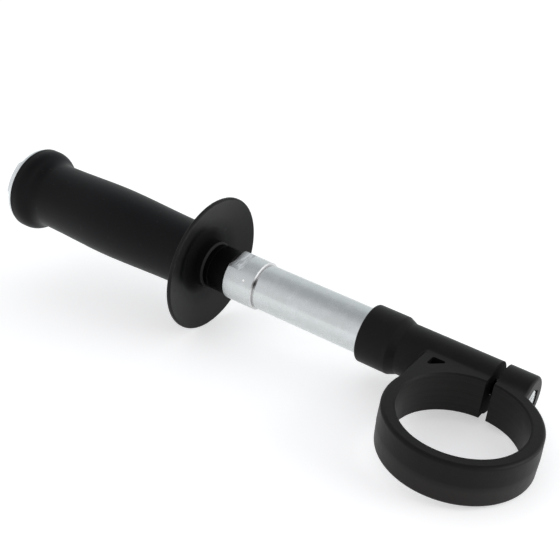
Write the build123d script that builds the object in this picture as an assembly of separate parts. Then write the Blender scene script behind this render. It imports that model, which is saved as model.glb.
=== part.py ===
from build123d import *
import os
from math import radians, sqrt, tan

# Clamp-on side handle for a large drill. Millimetres. The origin is the centre of the collar's bore, +Z is the
# bore's axis, and the handle lies along -X beside the bore, with its own axis shifted in +Y.

# Split collar, which is cast in one piece with the gusset, neck, socket and ear
bore_radius = 30.0
bore_to_axis = 13.3
collar_width = 21.6
collar_wall = 6.8
collar_draft = 1.8
casting_edge_rounding = 1.8
bore_edge_chamfer = 0.8
split_width = 3.8
split_centre_x = -0.4

# Neck and socket that take the bar, and the ear that takes the bolt's head
neck_length = 13.7
crease_rounding = 2.8
socket_cone_length = 4.4
socket_length = 17.0
socket_wall = 3.0
socket_depth = 18.5
socket_mouth_rounding = 1.0
socket_heel_rounding = 0.6
socket_throat_rounding = 1.5
ear_length = 15.1
ear_wall = 5.6
ear_blend = 8.0

# Gusset between the collar and the neck, with a triangular lightening pocket in each face
gusset_inset = 0.9
pocket_wall = 5.3
pocket_neck_distance = 12.2
pocket_collar_distance = 1.0
pocket_web = 3.2
pocket_corner_rounding = 1.0

# Clamp bolt, M8 with a hexagon head
bolt_radius = 4.0
bolt_engagement = 19.8
bolt_head_flats = 13.0
bolt_head_height = 5.3
bolt_head_turn = 30.0
bolt_head_recess = 0.5
bolt_hole_clearance = 0.5
bolt_tip_chamfer = 1.0
head_pocket_clearance = 0.35

# Turned steel extension bar
bar_radius = 12.35
bar_shank_length = 82.9
bar_end_chamfer = 0.8
bar_head_radius = 13.4
bar_head_length = 18.3
bar_head_chamfer = 0.5
undercut_width = 1.2
undercut_depth = 1.0
undercut_rounding = 0.2
spanner_flats = 22.0
spanner_flat_length = 8.7
spanner_flat_turn = 9.0
tapped_spare = 10.7
drill_point_angle = 118.0
spigot_radius = 10.0
spigot_overhang = 2.0
spigot_chamfer = 1.0

# Rings between the bar's head and the grip
bush_wall = 2.25
bush_length = 10.7
hub_washer_wall = 2.15
hub_washer_thickness = 3.0
ring_edge_rounding = 0.35

# Moulded grip with its dished guard and flared end
grip_length = 133.0
hub_wall = 3.25
hub_length = 10.6
hub_edge_chamfer = 1.0
guard_radius = 37.9
guard_dish = 9.2
guard_thickness = 2.4
guard_edge_rounding = 0.8
guard_root_rounding = 4.0
guard_back_rounding = 3.0
waist_radius = 18.4
waist_length = 4.5
crown_radius = 20.1
crown_distance = 62.0
throat_radius = 19.0
flare_radius = 24.1
flare_rise_length = 12.0
flare_land_length = 3.9
flare_edge_rounding = 1.0

# End washer and thin end nut, M20
end_washer_thickness = 2.0
end_nut_flats = 30.0
end_nut_height = 8.5
end_nut_turn = -2.0

# Hexagon corners are turned off at this angle, from this share of the width across flats
hexagon_chamfer_angle = 30.0
hexagon_face_share = 0.95

# Clearances between pieces
seat_clearance = 0.05
thread_clearance = 0.05
running_clearance = 0.06
bore_clearance = 0.15

# Collar and casting, worked out from the sizes above
half_width = collar_width / 2
collar_radius = bore_radius + collar_wall
axis_offset = bore_radius + bore_to_axis
gusset_x = gusset_inset - collar_radius
head_pocket_flats = bolt_head_flats + 2 * head_pocket_clearance
neck_radius = head_pocket_flats / sqrt(3) + ear_wall
ear_end_x = split_centre_x + split_width / 2 + ear_length
pocket_floor_x = ear_end_x - bolt_head_recess - bolt_head_height - seat_clearance
bolt_hole_radius = bolt_radius + bolt_hole_clearance

# Places along the handle's axis, worked out from the collar outwards
cone_end_x = gusset_x - neck_length
cone_start_x = cone_end_x - socket_cone_length
socket_mouth_x = cone_start_x - socket_length
socket_floor_x = socket_mouth_x + socket_depth
bar_front_x = socket_floor_x - seat_clearance
bolt_tip_x = bar_front_x - bolt_engagement
head_front_x = bar_front_x - bar_shank_length
head_back_x = head_front_x - bar_head_length
bush_back_x = head_back_x - bush_length
hub_front_x = bush_back_x - hub_washer_thickness
grip_end_x = hub_front_x - grip_length
washer_back_x = grip_end_x - end_washer_thickness
nut_back_x = washer_back_x - end_nut_height
spigot_end_x = nut_back_x - spigot_overhang

# Bores round the bar and its spigot
socket_bore = bar_radius + running_clearance
tapped_bore = bolt_radius + thread_clearance
spigot_bore = spigot_radius + bore_clearance
nut_bore = spigot_radius + thread_clearance

on_axis = Pos(0, axis_offset, 0)


def turned(*corners):
    """Solid turned about the handle's axis from (x, radius, rounding) corners."""
    points = [(x, radius) for x, radius, rounding in corners]
    roundings = [rounding for x, radius, rounding in corners]
    outline = FilletPolyline(*points, radius=roundings, close=True)
    return on_axis * revolve(make_face(outline), Axis.X)


def plug(x_from, x_to, radius):
    """Plain cylinder on the handle's axis, used to cut bores."""
    return turned((x_from, 0, 0), (x_from, radius, 0), (x_to, radius, 0), (x_to, 0, 0))


def hexagon(x_from, x_to, across_flats, turn):
    """Hexagonal prism on the handle's axis, one flat facing turn degrees from up."""
    outline = RegularPolygon(across_flats / 2, 6, major_radius=False, rotation=turn)
    prism = extrude(Plane.YZ.offset(x_from) * outline, amount=x_to - x_from)
    return on_axis * prism


def chamfered_hexagon(x_from, x_to, across_flats, turn):
    """Hexagon head or nut with the corners of both faces turned off."""
    face_radius = hexagon_face_share * across_flats / 2
    outer_radius = across_flats
    drop = (outer_radius - face_radius) * tan(radians(hexagon_chamfer_angle))
    start_cone = turned(
        (x_from, 0, 0),
        (x_from, face_radius, 0),
        (x_from + drop, outer_radius, 0),
        (x_to + drop, outer_radius, 0),
        (x_to + drop, 0, 0),
    )
    end_cone = turned(
        (x_from - drop, 0, 0),
        (x_from - drop, outer_radius, 0),
        (x_to - drop, outer_radius, 0),
        (x_to, face_radius, 0),
        (x_to, 0, 0),
    )
    return hexagon(x_from, x_to, across_flats, turn) & start_cone & end_cone


def from_axis(point):
    """Distance of a point from the handle's axis."""
    return sqrt((point.Y - axis_offset) ** 2 + point.Z**2)


def collar_ring():
    """Ring with draft both ways from the parting line and rounded outer edges."""
    face_radius = collar_radius - half_width * tan(radians(collar_draft))
    outline = FilletPolyline(
        (bore_radius, -half_width),
        (face_radius, -half_width),
        (collar_radius, 0),
        (face_radius, half_width),
        (bore_radius, half_width),
        radius=[0, casting_edge_rounding, 0, casting_edge_rounding, 0],
        close=True,
    )
    return revolve(make_face(Plane.XZ * outline), Axis.Z)


def gusset_with_neck():
    """Socket, neck and full-width gusset, blended along the crease between them."""
    barrel = turned(
        (socket_mouth_x, 0, 0),
        (socket_mouth_x, socket_bore + socket_wall, socket_mouth_rounding),
        (cone_start_x, socket_bore + socket_wall, socket_heel_rounding),
        (cone_end_x, neck_radius, socket_throat_rounding),
        (split_centre_x, neck_radius, 0),
        (split_centre_x, 0, 0),
    )
    plan = Polyline(
        (gusset_x, 0),
        (gusset_x, axis_offset),
        (split_centre_x, axis_offset),
        (split_centre_x, 0),
        close=True,
    )
    web = extrude(make_face(plan), amount=half_width, both=True)
    wall_edges = []
    for edge in web.edges().filter_by(Axis.Y):
        middle = edge @ 0.5
        if middle.X < gusset_x + 1:
            wall_edges.append(edge)
    body = barrel + fillet(wall_edges, casting_edge_rounding)
    creases = []
    for edge in body.edges():
        middle = edge @ 0.5
        on_neck = abs(from_axis(middle) - neck_radius) < 0.01
        if on_neck and middle.Y < axis_offset and middle.X > gusset_x - 0.1:
            creases.append(edge)
    return fillet(creases, min(crease_rounding, 2 * casting_edge_rounding))


def bolt_ear():
    """Ear past the split, with broad blends down to the faces of the collar."""
    foot = bore_radius / 2
    web = Rectangle(axis_offset - foot, collar_width, align=(Align.MIN, Align.CENTER))
    section = Pos(axis_offset, 0) * Circle(neck_radius) + Pos(foot, 0) * web
    section = fillet(section.vertices().filter_by_position(Axis.X, foot + 1, axis_offset), ear_blend)
    ear = extrude(Plane.YZ.offset(split_centre_x) * section, amount=ear_end_x - split_centre_x)
    end_edges = ear.faces().sort_by(Axis.X)[-1].edges()
    rim = [edge for edge in end_edges if (edge @ 0.5).Y > foot + 1]
    return fillet(rim, casting_edge_rounding)


def collar_bore():
    """Bore with its two rims chamfered, as a solid to cut away."""
    rim_radius = bore_radius + bore_edge_chamfer
    rim_z = half_width - bore_edge_chamfer
    outline = Polyline(
        (0, -half_width),
        (rim_radius, -half_width),
        (bore_radius, -rim_z),
        (bore_radius, rim_z),
        (rim_radius, half_width),
        (0, half_width),
        close=True,
    )
    return revolve(make_face(Plane.XZ * outline), Axis.Z)


def gusset_pockets():
    """Triangular pockets, their sides parallel to the gusset's wall, the neck and the collar's tangent."""
    left_x = gusset_x + pocket_wall
    top_y = axis_offset - pocket_neck_distance
    diagonal = (collar_radius + pocket_collar_distance) * sqrt(2)
    outline = FilletPolyline(
        (left_x, left_x + diagonal),
        (left_x, top_y),
        (top_y - diagonal, top_y),
        radius=pocket_corner_rounding,
        close=True,
    )
    pocket = extrude(Pos(0, 0, pocket_web / 2) * make_face(outline), amount=half_width)
    return pocket + mirror(pocket, Plane.XY)


def clamp_body():
    """One casting: split ring, gusset, neck, bar socket and bolt ear."""
    body = collar_ring() + gusset_with_neck() + bolt_ear()
    body -= gusset_pockets() + collar_bore()
    split_height = axis_offset + 2 * neck_radius
    split = Box(split_width, split_height, 4 * half_width, align=(Align.CENTER, Align.MIN, Align.CENTER))
    body -= Pos(split_centre_x, bore_radius / 2, 0) * split
    body -= plug(socket_mouth_x, socket_floor_x, socket_bore)
    body -= plug(socket_floor_x, ear_end_x, bolt_hole_radius)
    way_out_x = ear_end_x + bolt_head_height
    body -= hexagon(pocket_floor_x, way_out_x, head_pocket_flats, bolt_head_turn)
    return body


def clamp_bolt():
    """Hexagon bolt, its head in the ear and its shank through the split into the bar."""
    head_back = pocket_floor_x + seat_clearance
    head = chamfered_hexagon(head_back, head_back + bolt_head_height, bolt_head_flats, bolt_head_turn)
    shank = turned(
        (head_back + bolt_tip_chamfer, 0, 0),
        (head_back + bolt_tip_chamfer, bolt_radius, 0),
        (bolt_tip_x + bolt_tip_chamfer, bolt_radius, 0),
        (bolt_tip_x, bolt_radius - bolt_tip_chamfer, 0),
        (bolt_tip_x, 0, 0),
    )
    return head + shank


def extension_bar():
    """Turned bar: tapped front end, shank, undercut, spanner head and long spigot."""
    undercut_x = head_front_x + undercut_width
    undercut_radius = bar_radius - undercut_depth
    blank = turned(
        (bar_front_x, 0, 0),
        (bar_front_x, bar_radius - bar_end_chamfer, 0),
        (bar_front_x - bar_end_chamfer, bar_radius, 0),
        (undercut_x, bar_radius, undercut_rounding),
        (undercut_x, undercut_radius, undercut_rounding),
        (head_front_x, undercut_radius, undercut_rounding),
        (head_front_x, bar_head_radius - bar_head_chamfer, 0),
        (head_front_x - bar_head_chamfer, bar_head_radius, 0),
        (head_back_x + bar_head_chamfer, bar_head_radius, 0),
        (head_back_x, bar_head_radius - bar_head_chamfer, 0),
        (head_back_x, spigot_radius, 0),
        (spigot_end_x + spigot_chamfer, spigot_radius, 0),
        (spigot_end_x, spigot_radius - spigot_chamfer, 0),
        (spigot_end_x, 0, 0),
    )
    tapped_end_x = bolt_tip_x - tapped_spare
    tapped_hole = turned(
        (bar_front_x, 0, 0),
        (bar_front_x, tapped_bore, 0),
        (tapped_end_x, tapped_bore, 0),
        (tapped_end_x - tapped_bore / tan(radians(drill_point_angle / 2)), 0, 0),
    )
    bar = blank - tapped_hole
    cutter = Box(spanner_flat_length, 3 * bar_head_radius, bar_head_radius)
    cutter = Pos(0, 0, (spanner_flats + bar_head_radius) / 2) * cutter
    flats_centre = Pos(head_back_x + spanner_flat_length / 2, axis_offset, 0)
    for side in (0, 180):
        bar -= flats_centre * Rot(spanner_flat_turn + side, 0, 0) * cutter
    return bar


def ring_on_spigot(x_front, x_back, radius):
    """Ring on the bar's spigot, with eased outer edges."""
    return turned(
        (x_front, spigot_bore, 0),
        (x_front, radius, ring_edge_rounding),
        (x_back, radius, ring_edge_rounding),
        (x_back, spigot_bore, 0),
    )


def grip():
    """Moulded grip: hub, dished guard, swelling barrel and flared end."""
    hub_radius = spigot_bore + hub_wall
    guard_root_x = hub_front_x - hub_length
    guard_rim_x = guard_root_x + guard_dish
    slope = guard_dish / (guard_radius - hub_radius)
    guard_depth = guard_thickness * sqrt(1 + slope**2)
    back_root_x = guard_root_x + slope * (waist_radius - hub_radius) - guard_depth
    waist_x = back_root_x - waist_length
    flare_x = grip_end_x + flare_land_length
    throat_x = flare_x + flare_rise_length
    rise_middle = ((throat_x + flare_x) / 2, (throat_radius + flare_radius) / 2)

    front = FilletPolyline(
        (hub_front_x, spigot_bore),
        (hub_front_x, hub_radius - hub_edge_chamfer),
        (hub_front_x - hub_edge_chamfer, hub_radius),
        (guard_root_x, hub_radius),
        (guard_rim_x, guard_radius),
        (guard_rim_x - guard_thickness, guard_radius),
        (back_root_x, waist_radius),
        (waist_x, waist_radius),
        radius=[0, 0, guard_root_rounding, guard_edge_rounding, guard_edge_rounding, guard_back_rounding],
    )
    barrel = Spline(
        (waist_x, waist_radius),
        (back_root_x - crown_distance, crown_radius),
        (throat_x, throat_radius),
        tangents=((-1, 0), (-1, 0)),
    )
    flare_start = TangentArc((throat_x, throat_radius), rise_middle, tangent=(-1, 0))
    flare_finish = TangentArc((flare_x, flare_radius), rise_middle, tangent=(1, 0))
    end = FilletPolyline(
        (flare_x, flare_radius),
        (grip_end_x, flare_radius),
        (grip_end_x, spigot_bore),
        (hub_front_x, spigot_bore),
        radius=[flare_edge_rounding, 0],
    )
    outline = front + barrel + flare_start + flare_finish + end
    return on_axis * revolve(make_face(outline), Axis.X)


def end_nut():
    """Thin hexagon nut, chamfered on both faces."""
    nut = chamfered_hexagon(nut_back_x, washer_back_x, end_nut_flats, end_nut_turn)
    return nut - plug(nut_back_x, washer_back_x, nut_bore)


bush_radius = spigot_bore + bush_wall
hub_washer_radius = spigot_bore + hub_washer_wall
end_washer_radius = flare_radius - flare_edge_rounding

pieces = {
    "clamp_body": clamp_body(),
    "clamp_bolt": clamp_bolt(),
    "extension_bar": extension_bar(),
    "spacer_bush": ring_on_spigot(head_back_x, bush_back_x, bush_radius),
    "hub_washer": ring_on_spigot(bush_back_x, hub_front_x, hub_washer_radius),
    "grip": grip(),
    "end_washer": ring_on_spigot(grip_end_x, washer_back_x, end_washer_radius),
    "end_nut": end_nut(),
}

os.makedirs("parts", exist_ok=True)
for name, piece in pieces.items():
    export_step(piece, f"parts/{name}.step")
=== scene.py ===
from math import cos, pi, radians, sin

import bpy
from mathutils import Euler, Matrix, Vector


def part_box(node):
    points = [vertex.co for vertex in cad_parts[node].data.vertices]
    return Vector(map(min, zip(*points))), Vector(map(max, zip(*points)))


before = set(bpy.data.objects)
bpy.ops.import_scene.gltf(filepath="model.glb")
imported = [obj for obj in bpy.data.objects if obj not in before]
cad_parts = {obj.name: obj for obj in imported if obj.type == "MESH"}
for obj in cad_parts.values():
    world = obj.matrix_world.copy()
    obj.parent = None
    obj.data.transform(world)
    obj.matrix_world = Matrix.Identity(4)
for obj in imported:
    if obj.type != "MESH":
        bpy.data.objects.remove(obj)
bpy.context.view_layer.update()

# Metres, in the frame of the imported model: the collar's bore is on Z and the handle lies along -X.
washer_low, washer_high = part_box("end_washer")
axis_offset = (washer_low.y + washer_high.y) / 2
nut_back_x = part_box("end_nut")[0].x
hub_front_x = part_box("grip")[1].x
head_back_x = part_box("spacer_bush")[1].x
bolt_front_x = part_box("clamp_bolt")[1].x

# The bar's head: its length, chamfer and undercut, and the two spanner flats
head_length = 0.0183
head_chamfer = 0.0005
undercut_width = 0.0012
spanner_flats = 0.0220
spanner_flat_length = 0.0087
spanner_flat_turn = 9.0
head_front_x = head_back_x + head_length

# A point is on a flat if the square of its height, as a share of the flat's own, is between these
flat_band = (0.99, 1.01)

# The dark strip at the back of each spanner flat fades out between these distances from the head's back
dark_strip = (0.0012, 0.0032)

# A painted glint on the head, at a place measured from the handle's axis
glint_place = (-0.1415, -0.0118, 0.0063)
glint_radius = 0.0006

# The y and z of the dark patch in the undercut, from the handle's axis, and the distances where it fades out
dark_patch_place = (-0.0106, 0.0062)
dark_patch_reach = (0.0006, 0.0036)

# From the front of the grip's hub to the back of the fillet where the guard starts, and that fillet's radii,
# over which the root is painted in shade
guard_root_length = 0.0150
guard_root_radii = (0.016, 0.020)
# Width of the painted highlight along the hub's front rim
hub_highlight_width = 0.0009

# Pale patches on the guard start this far behind the hub's front, and fade in between these radii
guard_depth = 0.0300
pale_patch_radii = (0.0215, 0.0260)

# The collar's bore and wall, the heights where the painted floor light on the wall's lower half fades out,
# and the split, whose faces are painted in shade
bore_radius = 0.0300
ring_wall_radius = 0.0355
ring_outer_radius = 0.0368
floor_light_top = (-0.003, 0.001)
split_faces_x = (-0.0023, 0.0015)
split_start_y = 0.0280

# How far a mask reaches past the surface that it picks out
mask_margin = 0.00005

# Threads, M20 fine on the spigot and M8 on the clamp bolt
spigot_radius = 0.0100
spigot_pitch = 0.0015
bolt_radius = 0.0040
bolt_pitch = 0.00125
bolt_head_height = 0.0053
thread_depth_per_pitch = 0.61
bolt_head_back_x = bolt_front_x - bolt_head_height

# The spigot's thread stays outside this share of its radius, and the bolt's inside this one
thread_root_share = 0.93
thread_crest_share = 1.02

# Where the part touches the table: the ear's lower end, the collar's lower rim and the guard's edge
contact_points = (
    (0.01506, 0.04313, -0.01349),
    (0.03495, -0.00099, -0.01078),
    (-0.16989, 0.04330, -0.03789),
)
table_half_width = 4.0
table_glow = 0.46

# The camera: its place, its turns about X, Y and Z in degrees, and its lens in millimetres
camera_place = (0.118344, -0.368724, 0.285651)
camera_turns = (59.7194, -5.9151, 34.1603)
camera_lens = 68.146
camera_sensor = 36.0
camera_near = 0.01
camera_far = 20.0

# Input and output sockets of the Mix node that mixes colours
mix_factor, mix_first, mix_second, mix_result = 0, 6, 7, 2


class Value:
    """A number or colour on a shader socket. Python's operators add Math nodes to its finish."""

    def __init__(self, finish, socket):
        self.finish = finish
        self.socket = socket

    def maths(self, operation, first, second):
        return self.finish.node("Math", {"operation": operation}, {0: first, 1: second})

    def __add__(self, other):
        return self.maths("ADD", self, other)

    def __sub__(self, other):
        return self.maths("SUBTRACT", self, other)

    def __rsub__(self, other):
        return self.maths("SUBTRACT", other, self)

    def __mul__(self, other):
        return self.maths("MULTIPLY", self, other)

    def __truediv__(self, other):
        return self.maths("DIVIDE", self, other)

    def __pow__(self, other):
        return self.maths("POWER", self, other)

    def __gt__(self, other):
        return self.maths("GREATER_THAN", self, other)

    def __lt__(self, other):
        return self.maths("LESS_THAN", self, other)

    __radd__ = __add__
    __rmul__ = __mul__


class Finish:
    """A node tree of a material or of the world, with one method that adds any node."""

    def __init__(self, owner):
        owner.use_nodes = True
        self.tree = owner.node_tree
        self.tree.nodes.clear()

    def node(self, kind, settings=None, sockets=None, output=0):
        """Adds a node: its settings first, then the values or links of its sockets."""
        node = self.tree.nodes.new("ShaderNode" + kind)
        for name, setting in (settings or {}).items():
            if name == "stops":
                self.set_stops(node.color_ramp.elements, setting)
            else:
                setattr(node, name, setting)
        for name, value in (sockets or {}).items():
            if isinstance(value, Value):
                self.tree.links.new(value.socket, node.inputs[name])
            else:
                node.inputs[name].default_value = value
        return Value(self, node.outputs[output]) if node.outputs else None

    def set_stops(self, elements, stops):
        """Sets a new ramp's two stops to the first two of the list, and adds the rest."""
        for element, (position, colour) in zip(elements, stops):
            element.position = position
            element.color = colour
        for position, colour in stops[2:]:
            elements.new(position).color = colour

    def place(self):
        """Object coordinates as a vector."""
        return self.node("TexCoord", output="Object")

    def handle_place(self):
        """Object coordinates measured from the handle's own axis."""
        shift = {"vector_type": "POINT"}
        return self.node("Mapping", shift, {"Vector": self.place(), "Location": (0, -axis_offset, 0)})

    def parts_of(self, vector):
        """The x, y and z of a vector."""
        split = self.node("SeparateXYZ", None, {"Vector": vector})
        outputs = split.socket.node.outputs
        return [Value(self, outputs[axis]) for axis in "XYZ"]

    def from_axis(self, place):
        """Distance from the X axis of that place."""
        y, z = self.parts_of(place)[1:]
        return (y * y + z * z) ** 0.5

    def from_point(self, place, point):
        """Distance from a point."""
        return self.node("VectorMath", {"operation": "DISTANCE"}, {0: place, 1: point}, "Value")

    def noise(self, vector, size, detail=2.0, roughness=0.5, stretch=(1, 1, 1)):
        """Noise whose lumps are about size across, drawn out by stretch."""
        scale = tuple(1 / (size * s) for s in stretch)
        laid = self.node("VectorMath", {"operation": "MULTIPLY"}, {0: vector, 1: scale})
        sockets = {"Vector": laid, "Scale": 1.0, "Detail": detail, "Roughness": roughness}
        return self.node("TexNoise", {"noise_dimensions": "3D"}, sockets, "Fac")

    def between(self, value, low, high, from_low, from_high):
        """Value moved from the last two numbers' range to the first two's, and held inside it."""
        sockets = {"Value": value, "From Min": from_low, "From Max": from_high, "To Min": low, "To Max": high}
        return self.node("MapRange", {"clamp": True}, sockets)

    def mixed(self, factor, colour, other):
        """Colour mixed towards the other colour by factor."""
        sockets = {mix_factor: factor, mix_first: colour, mix_second: other}
        return self.node("Mix", {"data_type": "RGBA"}, sockets, mix_result)

    def clouded(self, pattern, low, high, colour, other):
        """Colour where the pattern is below low, the other above high, and a mix in between."""
        return self.mixed(self.between(pattern, 0, 1, low, high), colour, other)

    def bumped(self, height, distance, normal=None):
        """Normal of a surface with that height pattern, whose full relief is distance."""
        sockets = {"Height": height, "Distance": distance, "Strength": 1.0}
        if normal is not None:
            sockets["Normal"] = normal
        return self.node("Bump", None, sockets)

    def surface(self, constants, varying):
        """Principled surface: plain numbers on its sockets, and links only where it varies."""
        shader = self.node("BsdfPrincipled", None, constants | varying)
        self.node("OutputMaterial", None, {"Surface": shader})


def finish_for(name):
    material = bpy.data.materials.new(name)
    return material, Finish(material)


def dress(node, material):
    """Gives every material slot of a CAD node that material."""
    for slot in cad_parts[node].material_slots:
        slot.material = material


def tint(grey, warmth=0.0):
    return (grey * (1 + warmth), grey, grey * (1 - warmth), 1)


def painted_casting():
    """Satin black powder coat on a casting, with turning marks in its bore. Painted light: the bore and the
    wall's lower half lighter as if lit from the floor, and the sawn split's faces dark as the shade in the
    gap.
    """
    material, finish = finish_for("satin_black_powder_coat")
    place = finish.place()
    cast_skin = finish.noise(place, size=0.0042, detail=3.0)
    orange_peel = finish.noise(place, size=0.0011)
    fine_grain = finish.noise(place, size=0.00032)
    mottle = finish.noise(place, size=0.009, detail=4.0, roughness=0.6)
    x, y, z = finish.parts_of(place)
    height_only = finish.node("CombineXYZ", None, {"Z": z})
    tool_marks = finish.noise(height_only, size=0.0009, detail=3.0, roughness=0.6)
    radius = (x * x + y * y) ** 0.5
    bored = radius < bore_radius + mask_margin
    split_left, split_right = split_faces_x
    # The split's faces: painted dark as the shade inside the narrow gap, and given a rougher finish
    sawn_and_shaded = (x > split_left - mask_margin) * (x < split_right + mask_margin) * (y > split_start_y)
    # Painted light: the outer wall is lighter below its middle, as if lit from the white floor below
    lower_wall_floor_light = (radius > ring_wall_radius) * (y < split_start_y) * (x > -ring_outer_radius)
    lower_wall_floor_light = lower_wall_floor_light * finish.between(z, 1, 0, *floor_light_top)

    colour = finish.clouded(mottle, 0.3, 0.7, tint(0.0028, warmth=0.04), tint(0.0050, warmth=0.04))
    # The bore's turning marks, on a colour painted lighter than the wall as light bounced from the floor
    # inside the collar
    turned = finish.clouded(tool_marks, 0.35, 0.65, tint(0.0090, warmth=0.05), tint(0.0170, warmth=0.05))
    colour = finish.mixed(bored, colour, turned)
    colour = finish.mixed(lower_wall_floor_light, colour, tint(0.0150, warmth=0.06))
    colour = finish.mixed(sawn_and_shaded, colour, tint(0.0006))
    roughness = finish.between(mottle * 0.5 + fine_grain * 0.5, 0.44, 0.52, 0.3, 0.7) + sawn_and_shaded * 0.4

    normal = finish.bumped(cast_skin, distance=0.00010)
    normal = finish.bumped(orange_peel, distance=0.00003, normal=normal)
    normal = finish.bumped(fine_grain, distance=0.000012, normal=normal)
    normal = finish.bumped(tool_marks * bored, distance=0.00003, normal=normal)
    finish.surface(
        {"Specular IOR Level": 0.168, "Specular Tint": (1.0, 0.945, 0.955, 1)},
        {"Base Color": colour, "Roughness": roughness, "Normal": normal},
    )
    return material


def moulded_grip():
    """Matt black moulded plastic: scuffed, with a painted highlight on the hub's rim, pale patches on the
    guard fading in outward from the hub, and painted shade at the guard's duller root.
    """
    material, finish = finish_for("matt_black_moulded_plastic")
    place = finish.handle_place()
    mottle = finish.noise(place, size=0.012, detail=4.0, roughness=0.6)
    eroded = finish.noise(place, size=0.00045, roughness=0.6)
    flow = finish.noise(place, size=0.004, stretch=(6, 1, 1))
    scratched = finish.noise(place, size=0.0032, detail=3.0, roughness=0.7)
    x = finish.parts_of(place)[0]
    radius = finish.from_axis(place)
    # Painted shade: the guard's root next to the hub is painted darker, and made duller
    root = (x > hub_front_x - guard_root_length) * finish.between(radius, 1, 0, *guard_root_radii)
    # Pale patches on the outer guard, fading in outward from the hub
    outer_guard = (x > hub_front_x - guard_depth) * finish.between(radius, 0, 1, *pale_patch_radii)

    colour = finish.clouded(mottle, 0.3, 0.7, tint(0.0010, warmth=-0.1), tint(0.0022, warmth=-0.1))
    colour = finish.clouded(scratched, 0.65, 0.74, colour, tint(0.018))
    colour = finish.mixed(root, colour, tint(0.0004))
    # Painted highlight: a light band along the hub's front rim
    colour = finish.mixed(x > hub_front_x - hub_highlight_width, colour, tint(0.019))
    pale_patches = outer_guard * finish.between(mottle, 0.75, 1, 0.3, 0.7)
    colour = finish.mixed(pale_patches, colour, tint(0.0115, warmth=0.03))
    roughness = finish.between(mottle * 0.4 + eroded * 0.6, 0.42, 0.50, 0.3, 0.7) + root * 0.4

    normal = finish.bumped(flow, distance=0.00005)
    normal = finish.bumped(eroded, distance=0.00002, normal=normal)
    finish.surface(
        {"Specular IOR Level": 0.153, "Specular Tint": (0.960, 0.950, 1.0, 1)},
        {"Base Color": colour, "Roughness": roughness, "Normal": normal},
    )
    return material


def turned_plastic(name, grey, level):
    """Black ring with the faint turning marks of its edge and faces."""
    material, finish = finish_for(name)
    place = finish.handle_place()
    marks = finish.noise(place, size=0.0011, stretch=(0.25, 8, 8))
    mottle = finish.noise(place, size=0.005, detail=3.0)
    colour = finish.mixed(mottle, tint(grey * 0.8), tint(grey * 1.2))
    roughness = finish.between(marks * 0.5 + mottle * 0.5, 0.30, 0.40, 0.3, 0.7)
    normal = finish.bumped(marks, distance=0.00003)
    finish.surface(
        {"Specular IOR Level": level},
        {"Base Color": colour, "Roughness": roughness, "Normal": normal},
    )
    return material


def thread(finish, place, pitch):
    """Height of a right-hand V thread about the handle's axis, from 0 at the root to 1 at the crest."""
    x, y, z = finish.parts_of(place)
    turn = finish.node("Math", {"operation": "ARCTAN2"}, {0: z, 1: y}) / (2 * pi)
    return finish.node("Math", {"operation": "PINGPONG"}, {0: (x / pitch + turn) * 2, 1: 1.0})


def zinc(name, grey, roughness, marks_size, thread_pitch=0.0, threaded=None, worked=None):
    """Bright zinc over turned steel: turning marks, cloudy passivation and a few bright specks."""
    material, finish = finish_for(name)
    place = finish.handle_place()
    cloud = finish.noise(place, size=0.008)
    spangle = finish.noise(place, size=0.0030, detail=1.0)
    marks = finish.noise(place, size=marks_size, detail=3.0, roughness=0.6, stretch=(1, 40, 40))
    speck = finish.noise(place, size=0.0012, detail=0.0) > 0.88
    dull = finish.between(cloud * 0.5 + spangle * 0.5, 0, 1, 0.42, 0.68)

    cool = (grey * 0.92, grey * 0.965, grey * 0.965, 1)
    pale = (grey * 1.00, grey * 1.04, grey * 1.05, 1)
    colour = finish.mixed(dull, cool, pale)
    colour = finish.mixed(speck, colour, (0.92, 0.93, 0.94, 1))
    rough = finish.between(marks * 0.5 + dull * 0.5, roughness - 0.05, roughness + 0.05, 0, 1)
    normal = finish.bumped(marks, distance=0.000005)
    normal = finish.bumped(spangle, distance=0.000009, normal=normal)
    if worked:
        colour, rough, normal = worked(finish, place, colour, rough, normal)
    if thread_pitch:
        ridge = thread(finish, place, thread_pitch) * threaded(finish, place)
        normal = finish.bumped(ridge, distance=thread_pitch * thread_depth_per_pitch, normal=normal)
    finish.surface(
        {"Metallic": 1.0},
        {"Base Color": colour, "Roughness": rough, "Normal": normal},
    )
    return material


def worked_bar(finish, place, colour, rough, normal):
    """The bar's undercut with a dark patch in it, its milled flats with a dark back strip, and a painted
    glint on its head.
    """
    x, y, z = finish.parts_of(place)
    undercut = (x > head_front_x - head_chamfer - mask_margin) * (x < head_front_x + undercut_width)
    # A dark patch in the undercut, fading out around one place
    from_dark_patch = finish.from_point(place, (head_front_x, *dark_patch_place))
    dark_patch = undercut * finish.between(from_dark_patch, 0.90, 0, *dark_patch_reach)
    colour = finish.mixed(undercut, colour, tint(0.74))
    colour = finish.mixed(dark_patch, colour, tint(0.08))
    rough = rough + undercut * 0.35

    turn = radians(spanner_flat_turn)
    height = (z * cos(turn) - y * sin(turn)) / (spanner_flats / 2)
    band_low, band_high = flat_band
    on_flat = (height * height > band_low) * (height * height < band_high)
    on_flat = on_flat * (x < head_back_x + spanner_flat_length)
    milling = finish.noise(place, size=0.0024, stretch=(0.5, 2.0, 2.0))
    milled = finish.clouded(milling, 0.40, 0.60, tint(0.56, warmth=-0.02), tint(0.80, warmth=-0.02))
    colour = finish.mixed(on_flat, colour, milled)
    strip = on_flat * finish.between(x - head_back_x, 0.8, 0, *dark_strip)
    colour = finish.mixed(strip, colour, tint(0.30))
    normal = finish.bumped(milling * on_flat, distance=0.00008, normal=normal)

    # Painted highlight: a small bright glint on the head
    painted_glint = finish.from_point(place, glint_place) < glint_radius
    colour = finish.mixed(painted_glint, colour, tint(0.98))
    return colour, rough, normal


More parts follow.
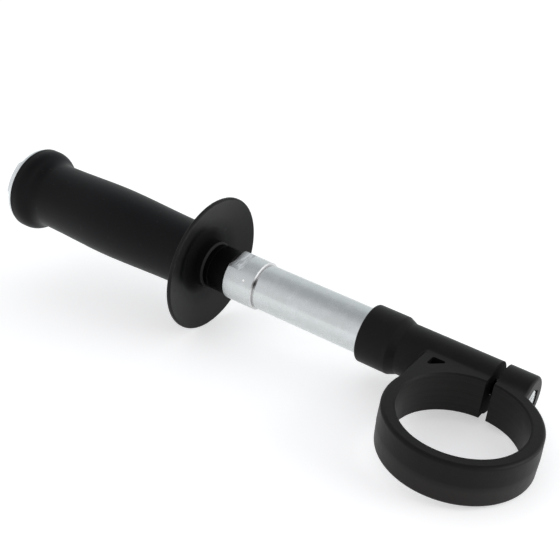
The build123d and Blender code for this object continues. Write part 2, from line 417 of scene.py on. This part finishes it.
def shaded_shank(finish, place, colour, rough, normal):
    """The clamp bolt's shank behind its head, painted dark as the shade it lies in across the split."""
    x = finish.parts_of(place)[0]
    # Painted shade on the whole shank behind the head
    return finish.mixed(x < bolt_head_back_x, colour, tint(0.015)), rough, normal


def spigot_thread_mask(finish, place):
    """The spigot's end, and not the flat end face inside the thread's root."""
    x = finish.parts_of(place)[0]
    return (x < nut_back_x) * (finish.from_axis(place) > thread_root_share * spigot_radius)


def bolt_thread_mask(finish, place):
    """The bolt's shank, and with it the middle of its head."""
    return finish.from_axis(place) < thread_crest_share * bolt_radius


def rest_floor():
    """Pale table that the part rests on, seen from above only."""
    ear, rim, guard = [Vector(point) for point in contact_points]
    normal = (rim - guard).cross(ear - guard).normalized()
    across = normal.orthogonal().normalized() * table_half_width
    along = normal.cross(across)
    mesh = bpy.data.meshes.new("table")
    corners = [ear + across * a + along * b for a, b in ((-1, -1), (1, -1), (1, 1), (-1, 1))]
    mesh.from_pydata([tuple(corner) for corner in corners], [], [(0, 1, 2, 3)])
    table = bpy.data.objects.new("table", mesh)
    bpy.context.scene.collection.objects.link(table)

    material, finish = finish_for("white_table")
    grain = finish.noise(finish.place(), size=0.004, detail=3.0)
    white = finish.mixed(grain, tint(0.80), tint(0.82))
    paper = finish.node("BsdfDiffuse", None, {"Color": white})
    glow = finish.node("Emission", None, {"Color": tint(1), "Strength": table_glow})
    lit = finish.node("AddShader", None, {0: paper, 1: glow})
    seen = finish.node("LightPath", output="Is Camera Ray")
    mirrored = finish.node("LightPath", output="Is Glossy Ray")
    through = finish.node("LightPath", output="Is Transmission Ray")
    watched = finish.node("Math", {"operation": "MAXIMUM"}, {0: seen, 1: mirrored})
    watched = finish.node("Math", {"operation": "MAXIMUM"}, {0: watched, 1: through})
    plain = finish.node("MixShader", None, {0: watched, 1: paper, 2: lit})
    under = finish.node("NewGeometry", output="Backfacing")
    clear = finish.node("BsdfTransparent")
    both = finish.node("MixShader", None, {0: under, 1: plain, 2: clear})
    finish.node("OutputMaterial", None, {"Surface": both})
    mesh.materials.append(material)


def light_tent():
    """White surroundings, darker overhead, as a light tent is at its open top."""
    world = bpy.data.worlds.new("light_tent")
    bpy.context.scene.world = world
    finish = Finish(world)
    direction = finish.node("TexCoord", output="Generated")
    y, z = finish.parts_of(direction)[1:]
    back_tint = (0.965, 1.0, 1.01, 1)
    front_tint = (1.005, 0.995, 1.015, 1)
    cast = finish.mixed(finish.between(y, 1, 0, -0.5, 0.3), back_tint, front_tint)
    stops = [
        (0.0, (0.87, 0.87, 0.87, 1)),
        (1.0, (0.45, 0.45, 0.46, 1)),
        (0.50, (0.85, 0.85, 0.85, 1)),
        (0.70, (0.76, 0.76, 0.77, 1)),
        (0.85, (0.58, 0.58, 0.59, 1)),
    ]
    cloth = finish.node("ValToRGB", {"stops": stops}, {"Fac": z}, "Color")
    cloth = finish.node("VectorMath", {"operation": "MULTIPLY"}, {0: cloth, 1: cast})
    seen = finish.node("LightPath", output="Is Camera Ray")
    colour = finish.mixed(seen, cloth, tint(1))
    shader = finish.node("Background", None, {"Color": colour, "Strength": 1.0})
    finish.node("OutputWorld", None, {"Surface": shader})


def soft_lamp(name, place, target, size, power):
    """Square lamp that faces its target."""
    light = bpy.data.lights.new(name, "AREA")
    light.shape = "SQUARE"
    light.size = size
    light.energy = power
    lamp = bpy.data.objects.new(name, light)
    lamp.location = place
    lamp.rotation_euler = (Vector(target) - Vector(place)).to_track_quat("-Z", "Y").to_euler()
    bpy.context.scene.collection.objects.link(lamp)


def camera():
    """Camera where the photograph was taken from."""
    data = bpy.data.cameras.new("camera")
    data.sensor_width = camera_sensor
    data.lens = camera_lens
    data.clip_start = camera_near
    data.clip_end = camera_far
    eye = bpy.data.objects.new("camera", data)
    eye.location = camera_place
    eye.rotation_euler = Euler([radians(turn) for turn in camera_turns], "XYZ")
    bpy.context.scene.collection.objects.link(eye)
    bpy.context.scene.camera = eye


bar_zinc = zinc(
    "zinc_on_turned_bar", grey=0.66, roughness=0.28, marks_size=0.0006,
    thread_pitch=spigot_pitch, threaded=spigot_thread_mask, worked=worked_bar,
)
bolt_zinc = zinc(
    "zinc_on_clamp_bolt", grey=0.62, roughness=0.26, marks_size=0.0008,
    thread_pitch=bolt_pitch, threaded=bolt_thread_mask, worked=shaded_shank,
)
dress("clamp_body", painted_casting())
dress("grip", moulded_grip())
dress("spacer_bush", turned_plastic("black_bush_plastic", grey=0.0015, level=0.08))
dress("hub_washer", turned_plastic("black_washer_plastic", grey=0.0015, level=0.08))
dress("extension_bar", bar_zinc)
dress("clamp_bolt", bolt_zinc)
dress("end_washer", zinc("zinc_on_end_washer", grey=0.78, roughness=0.28, marks_size=0.0007))
dress("end_nut", zinc("zinc_on_end_nut", grey=0.78, roughness=0.26, marks_size=0.0007))

rest_floor()
light_tent()
soft_lamp("right_soft_box", place=(1.15, 0.35, 0.45), target=(-0.05, 0.0, 0.0), size=1.0, power=10.0)
camera()
bpy.context.scene.view_settings.view_transform = "Standard"
